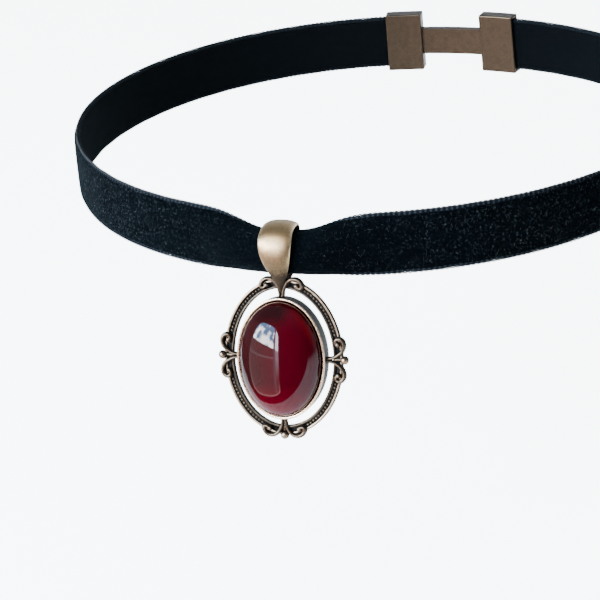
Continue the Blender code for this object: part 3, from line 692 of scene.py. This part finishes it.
# The bail's outline: share of the way from its tip to its top, and share of its width
bail = dict(width=0.0060, crown=0.00095, edge=0.00045, topShare=1.05, corner=0.0004,
            tipOverlap=0.0002, rootHalf=0.0010, sway=0.0003, clearance=0.0003, fuller=0.13,
            round=0.00012, easeRows=16, columns=25)
bailRows = [(0.00, 0.08), (0.06, 0.14), (0.15, 0.27), (0.25, 0.43), (0.37, 0.60), (0.48, 0.73),
            (0.60, 0.84), (0.74, 0.91), (0.86, 0.92), (1.00, 0.86)]


def bailBlock():
    # From the tip straight up to the eye, over the eye, down its back and in to the ring's back.
    # The eye's arc is fuller in the middle, by a share of its radius
    curl = ribbon["width"] / (2 * pinch["angle"])
    eyeRadius = curl + ribbon["thickness"] / 2 + bail["clearance"]
    eye = np.array([pendant["hang"], -pendant["back"] - curl * math.cos(pinch["angle"])])
    tip = np.array([ring["innerY"] - bail["tipOverlap"], ring["height"] * 0.7])
    toEye = eye - tip
    heading = math.atan2(toEye[1], toEye[0]) + math.asin(eyeRadius / np.hypot(*toEye))
    straight = math.sqrt((toEye ** 2).sum() - eyeRadius ** 2)
    direction = np.array([math.cos(heading), math.sin(heading)])
    front = tip + straight * np.linspace(0.0, 1.0, 17)[:-1, None] * direction
    bend = np.linspace(math.pi / 2 + heading, 0.0, 29)
    fuller = eyeRadius * (1 + bail["fuller"] * np.sin(math.pi * bend / bend[0]) ** 2)[:, None]
    over = eye + fuller * np.stack([np.cos(bend), np.sin(bend)], -1)
    corner = np.array([eye[0] + eyeRadius - bail["corner"], eye[1]])
    sweepDown = np.radians(np.linspace(-15.0, -90.0, 6))
    turnPoints = corner + bail["corner"] * np.stack([np.cos(sweepDown), np.sin(sweepDown)], -1)
    backZ = eye[1] - bail["corner"]
    root = np.array([ring["innerY"] + ring["width"] * 0.6, ring["back"] + bail["edge"] + 0.00005])
    bendY = eye[0] - eyeRadius + bail["corner"]
    back = np.stack([np.linspace(corner[0], bendY, 9)[1:], np.full(8, backZ)], -1)
    middle = np.array([[(root[0] + bendY) / 2, (root[1] + backZ) / 2 - bail["corner"] / 4]])
    foot = smoothPath(np.vstack([back[-1:], middle, [root]]), 4)[1:]
    path = np.vstack([front, over, turnPoints, back, foot])
    top = len(front) + len(over) - 1
    crownRows = [top - bail["easeRows"], top, top + len(turnPoints) + 1]
    frontShare = np.interp(np.arange(len(path)), crownRows, [1.0, bail["topShare"], 0.0])[:, None]
    tangent = np.gradient(path, axis=0)
    tangent /= np.linalg.norm(tangent, axis=1, keepdims=True)
    normal = np.stack([-tangent[:, 1], tangent[:, 0]], -1)
    share = np.clip((path[:, 0] - path[0, 0]) / (path[:, 0].max() - path[0, 0]), 0.0, 1.0)
    shares, widths = np.array(bailRows).T
    half = np.interp(share, shares, widths) * bail["width"] / 2
    behind = np.arange(len(path)) > top
    half[behind] = np.maximum(half[behind], bail["rootHalf"])
    # The outside is crowned, and both long edges are rounded
    steps = np.linspace(-1.0, 1.0, bail["columns"])
    across = np.sign(steps) * (1 - (1 - np.abs(steps)) ** 1.6)
    crown = bail["edge"] + (bail["crown"] - bail["edge"]) * frontShare * (
        1 - np.abs(across[None, :]) ** 2.6)
    fromEdge = np.clip((1 - np.abs(across))[None, :] * half[:, None] / bail["round"], 0.0, 1.0)
    roundOff = bail["round"] * (1 - np.sqrt(1 - (1 - fromEdge) ** 2))
    acrossAll = np.concatenate([across, across[::-1]])[None, :]
    liftAll = np.concatenate([crown - roundOff, roundOff[:, ::-1]], 1)
    x = half[:, None] * acrossAll - bail["sway"] * share[:, None]
    y, z = (path[:, k:k + 1] + normal[:, k:k + 1] * liftAll for k in (0, 1))
    points = np.stack([x, y, z], -1)
    # Relief along the outside runs from dark at the tip to pale at the top: part wear, part painted
    # shade toward the tip and painted highlight toward the top. The long edges wear paler and the
    # inside stays dark
    edgeWear = np.abs(acrossAll) ** 8 * 0.35
    outside = np.repeat([1.0, 0.0], bail["columns"])[None, :]
    wearAndShade = np.interp(share, [0.0, 0.12, 0.30, 0.60, 1.0], [0.0, 0.0, 0.26, 0.72, 1.0])[:, None]
    relief = 0.05 + (0.52 + edgeWear) * outside * wearAndShade
    return outward(gridBlock(points, dict(relief=relief), caps=True))


def settingPieces():
    middleX, middleY = ring["innerX"] + ring["width"] / 2, ring["innerY"] + ring["width"] / 2
    cupX, cupY = cup["innerX"] + cup["wall"], cup["innerY"] + cup["wall"]
    ornaments = ornamentBlocks(middleX, middleY, cupY, 0.0, None)
    ornaments += ornamentBlocks(middleX, middleY, cupY, math.pi, ball["outEnd"])
    ornaments += ornamentBlocks(middleY, middleX, cupX, math.pi / 2, ball["outSide"])
    ornaments += ornamentBlocks(middleY, middleX, cupX, -math.pi / 2, ball["outSide"])
    near, far, width = ring["innerY"] - 0.0002, ring["innerY"] + ring["width"], ring["width"]
    foot = scroll["span"] * 0.42
    footOutline = np.array([(foot * 0.35, near), (foot, near + width * 0.45), (foot, far),
                            (-foot, far), (-foot, near + width * 0.45), (-foot * 0.35, near)])
    ornaments.append(plateBlock(footOutline, ring["back"] + 0.0002, ring["height"]))
    finish = ("setting", "antique_bronze")
    makePiece("setting_ring", hang(joinBlocks([ringBlock(), beadBlock()])), ringMetal, *finish)
    makePiece("setting_scrolls", hang(joinBlocks(ornaments)), scrollMetal, *finish)
    makePiece("setting_cup", hang(joinBlocks(cupBlocks())), rimMetal, *finish)
    return makePiece("setting_bail", hang(bailBlock()), bailMetal, *finish)


bailPiece = settingPieces()
makePiece("stone_dome", hang(stoneBlock()), redGlass, "cabochon", "red_glass")
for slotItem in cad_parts["clasp"].material_slots:
    slotItem.material = claspMetal

# Stage, lights and camera
print("stage")
backdrop = dict(level=-0.056, reach=30.0, bendStart=1.2, bend=0.8, top=3.0)
# Seen from above, the pale area's front edge slants on the right, runs level just left of the
# pendant and slants again farther left
paleArea = dict(leftSlope=-0.65, leftStart=-0.1249, rightSlope=-0.58, rightStart=-0.0868,
                level=-0.067, soft=0.0015)
# The floor's own glow, as the camera sees it and as reflections see its pale area
cameraGlow, paleGlow = 5.5, 0.42


def sweepBackdrop():
    # A floor that runs back and curves up into a wall. Reflections see only its pale area, and look
    # through it elsewhere
    reach, start, bend = backdrop["reach"], backdrop["bendStart"], backdrop["bend"]
    x = np.linspace(-reach, reach, 3)[None, :]
    turn = np.linspace(0.0, math.pi / 2, 17)[:, None]
    y = np.concatenate([[[-reach], [0.0]], start + bend * np.sin(turn), [[start + bend]]])
    z = np.concatenate([[[0.0], [0.0]], bend - bend * np.cos(turn), [[backdrop["top"]]]])
    points = np.stack([x + 0 * y, y + 0 * x, z + backdrop["level"] + 0 * x], -1)
    mesh = bpy.data.meshes.new("floor")
    mesh.from_pydata(points.reshape(-1, 3).tolist(), [], gridFaces(*points.shape[:2]).tolist())
    mesh.shade_smooth()
    material, tree, shader = newMaterial("pale_floor")
    place = tree.nodes.new("ShaderNodeTexCoord").outputs["Object"]
    parts = addNode(tree, "ShaderNodeSeparateXYZ", {0: place})
    x, y = parts.outputs["X"], parts.outputs["Y"]
    leftSide, rightSide = (
        mathNode(tree, "ADD", mathNode(tree, "MULTIPLY", x, paleArea[side + "Slope"]),
                 paleArea[side + "Start"]) for side in ("left", "right"))
    front = mathNode(tree, "MAXIMUM", leftSide,
                     mathNode(tree, "MINIMUM", rightSide, paleArea["level"]))
    pale = rangeNode(tree, mathNode(tree, "SUBTRACT", y, front), -paleArea["soft"], 0.0)
    seen = tree.nodes.new("ShaderNodeLightPath").outputs["Is Camera Ray"]
    glow = mixNode(tree, seen, mathNode(tree, "MULTIPLY", pale, paleGlow), cameraGlow)
    setInputs(tree, shader, {"Base Color": (0.90, 0.92, 0.93, 1), "Roughness": 0.9,
                             "Alpha": mathNode(tree, "MAXIMUM", seen, pale),
                             "Specular IOR Level": 0.1, "Emission Color": (0.93, 0.97, 1.0, 1),
                             "Emission Strength": glow})
    mesh.materials.append(material)
    floor = bpy.data.objects.new("floor", mesh)
    bpy.context.scene.collection.objects.link(floor)
    return floor


def areaLight(name, place, target, size, power, colour, glossy=True):
    lamp = bpy.data.lights.new(name, "AREA")
    lamp.shape = "RECTANGLE"
    lamp.size, lamp.size_y = size
    lamp.energy = power
    lamp.color = colour
    holder = bpy.data.objects.new(name, lamp)
    holder.location = place
    holder.rotation_euler = (Vector(target) - Vector(place)).to_track_quat("-Z", "Y").to_euler()
    holder.visible_glossy = glossy
    bpy.context.scene.collection.objects.link(holder)
    return holder


def lightCard(name, centre, target, width, height, material):
    # A glowing sheet that only lights and reflections see
    back = (Vector(target) - Vector(centre)).normalized()
    across = Vector((0.0, 0.0, 1.0)).cross(back).normalized()
    up = back.cross(across)
    corners = [Vector(centre) + across * sx * width / 2 + up * sz * height / 2
               for sx, sz in ((-1, -1), (1, -1), (1, 1), (-1, 1))]
    mesh = bpy.data.meshes.new(name)
    mesh.from_pydata(corners, [], [(0, 1, 2, 3)])
    layer = mesh.uv_layers.new(name="card")
    layer.data.foreach_set("uv", [0, 0, 1, 0, 1, 1, 0, 1])
    mesh.materials.append(material)
    card = bpy.data.objects.new(name, mesh)
    card.visible_camera = False
    card.visible_shadow = False
    bpy.context.scene.collection.objects.link(card)
    return card


# Shares of the window card's width and height
window = dict(roofSlope=-0.062, roofHeight=0.681, rail=0.52, archHalf=0.515, archTop=0.74,
              archRise=0.26, archFoot=0.10, archDrop=0.11)


def windowMaterial():
    # A tall window: cloudy sky above a slanted roof line, dull walls and a rail below, a pale frame
    # and sill. x runs to the right as the stone shows it, and y up
    material, tree, shader = newMaterial("window_glow")
    uv = tree.nodes.new("ShaderNodeTexCoord").outputs["UV"]
    parts = addNode(tree, "ShaderNodeSeparateXYZ", {0: uv})
    x, y = mathNode(tree, "SUBTRACT", 1.0, parts.outputs["X"]), parts.outputs["Y"]
    cloud = noiseNode(tree, uv, 6.5, 4.0)
    roof = mathNode(tree, "ADD", mathNode(tree, "MULTIPLY", x, window["roofSlope"]),
                    window["roofHeight"])
    above = mathNode(tree, "SUBTRACT", y, roof)
    cloud = mathNode(tree, "ADD", cloud, rangeNode(tree, above, 0.0, 0.30, 0.07, -0.11))
    blue, white = (0.035, 0.125, 0.225, 1), (0.95, 0.97, 1.0, 1)
    sky = blend(tree, rangeNode(tree, cloud, 0.46, 0.60), blue, white)
    dull = (0.024, 0.0160, 0.0160, 1)
    seen = blend(tree, rangeNode(tree, above, -0.006, 0.006), dull, sky)
    rail = mathNode(tree, "ABSOLUTE", mathNode(tree, "SUBTRACT", y, window["rail"]))
    seen = blend(tree, rangeNode(tree, rail, 0.009, 0.004), seen, (0.060, 0.052, 0.054, 1))
    # Right of the bar a second pane shows as a narrow strip, and both ends are arched
    bar = mathNode(tree, "MULTIPLY", rangeNode(tree, x, 0.83, 0.85), rangeNode(tree, x, 0.91, 0.89))
    seen = blend(tree, bar, seen, (0.03, 0.03, 0.035, 1))
    glow = mathNode(tree, "ADD", rangeNode(tree, y, 0.30, 0.62, 0.0, 0.20),
                    rangeNode(tree, y, 0.60, 0.66, 0.0, 0.65))
    strip = mathNode(tree, "MULTIPLY", rangeNode(tree, x, 0.89, 0.91), glow)
    strip = mathNode(tree, "MULTIPLY", strip, rangeNode(tree, y, 0.97, 0.90))
    seen = blend(tree, strip, seen, (0.45, 0.48, 0.55, 1))
    edge = mathNode(tree, "MAXIMUM", rangeNode(tree, x, 0.030, 0.015),
                    rangeNode(tree, y, 0.040, 0.020))
    seen = blend(tree, edge, seen, (0.07, 0.06, 0.06, 1))
    archX = mathNode(tree, "DIVIDE", mathNode(tree, "SUBTRACT", x, 0.50), window["archHalf"])
    archTop = mathNode(tree, "DIVIDE", mathNode(tree, "SUBTRACT", y, window["archTop"]),
                       window["archRise"])
    archFoot = mathNode(tree, "DIVIDE", mathNode(tree, "SUBTRACT", window["archFoot"], y),
                        window["archDrop"])
    archY = mathNode(tree, "MAXIMUM", mathNode(tree, "MAXIMUM", archTop, 0.0), archFoot)
    archSize = mathNode(tree, "ADD", mathNode(tree, "POWER", mathNode(tree, "ABSOLUTE", archX), 4.0),
                        mathNode(tree, "POWER", archY, 2.0))
    sill = mathNode(tree, "MULTIPLY", rangeNode(tree, archSize, 0.70, 0.86),
                    rangeNode(tree, y, 0.24, 0.10))
    seen = blend(tree, sill, seen, (0.17, 0.115, 0.10, 1))
    seen = blend(tree, rangeNode(tree, archSize, 1.0, 0.94), (0.004, 0.003, 0.003, 1), seen)
    setInputs(tree, shader, {"Base Color": (0, 0, 0, 1), "Specular IOR Level": 0.0,
                             "Emission Color": seen, "Emission Strength": 110.0})
    return material


def softWorld():
    # Dim below, on the right and in front, brighter above, behind and on the left
    world = bpy.data.worlds.new("soft_room")
    world.use_nodes = True
    tree = world.node_tree
    direction = tree.nodes.new("ShaderNodeTexCoord").outputs["Generated"]
    parts = addNode(tree, "ShaderNodeSeparateXYZ", {0: direction})
    behind = rangeNode(tree, parts.outputs["Y"], -0.3, 0.6)
    left = rangeNode(tree, parts.outputs["X"], 0.2, -0.9)
    above = rangeNode(tree, parts.outputs["Z"], 0.45, 0.95)
    share = mathNode(tree, "MAXIMUM", behind, mathNode(tree, "MAXIMUM", mathNode(
        tree, "MULTIPLY", left, 0.35), mathNode(tree, "MULTIPLY", above, 0.7)))
    share = mathNode(tree, "MULTIPLY", share, rangeNode(tree, parts.outputs["Z"], -0.02, 0.02))
    ground = tree.nodes["Background"]
    glow = blend(tree, share, (0.018, 0.018, 0.020, 1), (0.55, 0.60, 0.65, 1))
    seen = tree.nodes.new("ShaderNodeLightPath").outputs["Is Camera Ray"]
    tree.links.new(blend(tree, seen, glow, (5.5, 5.7, 5.9, 1)), ground.inputs["Color"])
    ground.inputs["Strength"].default_value = 1.0
    bpy.context.scene.world = world


sweepBackdrop()
softWorld()
lightCard("window_card", centre=(-0.344, -0.548, -0.020), target=(0.0, -0.057, -0.020),
          width=0.65, height=0.86, material=windowMaterial())
areaLight("ceiling", place=(-0.10, 0.10, 0.90), target=(0.0, 0.10, 0.0), size=(1.2, 1.2),
          power=24.0, colour=(0.98, 0.99, 1.0), glossy=False)
areaLight("front_soft", place=(-0.5, -0.7, 0.5), target=(0.0, -0.04, -0.01), size=(0.6, 0.6),
          power=5.0, colour=(1.0, 0.98, 0.96), glossy=False)

view = dict(azimuth=math.radians(21.932), elevation=math.radians(20.858), roll=math.radians(-4.583),
            distance=0.350, lens=132.205, aim=(0.0020167, -0.048089, -0.013146))


def makeCamera():
    azimuth, elevation, roll = view["azimuth"], view["elevation"], view["roll"]
    back = Vector((math.sin(azimuth) * math.cos(elevation), -math.cos(azimuth) * math.cos(elevation),
                   math.sin(elevation)))
    right = Vector((math.cos(azimuth), math.sin(azimuth), 0.0))
    up = back.cross(right)
    across = math.cos(roll) * right + math.sin(roll) * up
    upright = -math.sin(roll) * right + math.cos(roll) * up
    data = bpy.data.cameras.new("camera")
    data.lens = view["lens"]
    data.sensor_width = 36.0
    data.sensor_fit = "HORIZONTAL"
    data.clip_start, data.clip_end = 0.02, 20.0
    holder = bpy.data.objects.new("camera", data)
    holder.matrix_world = Matrix.Translation(Vector(view["aim"]) + back * view["distance"]) @ Matrix(
        (across, upright, back)).transposed().to_4x4()
    bpy.context.scene.collection.objects.link(holder)
    bpy.context.scene.camera = holder


glint = areaLight("bail_glint", place=(-0.132, -0.385, 0.350), target=(0.0, -0.057, -0.003),
                  size=(0.28, 0.15), power=2.2, colour=(1.0, 0.96, 0.89))
onlyBail = bpy.data.collections.new("lit_by_glint")
onlyBail.objects.link(bailPiece)
glint.light_linking.receiver_collection = onlyBail
makeCamera()
bpy.context.view_layer.update()
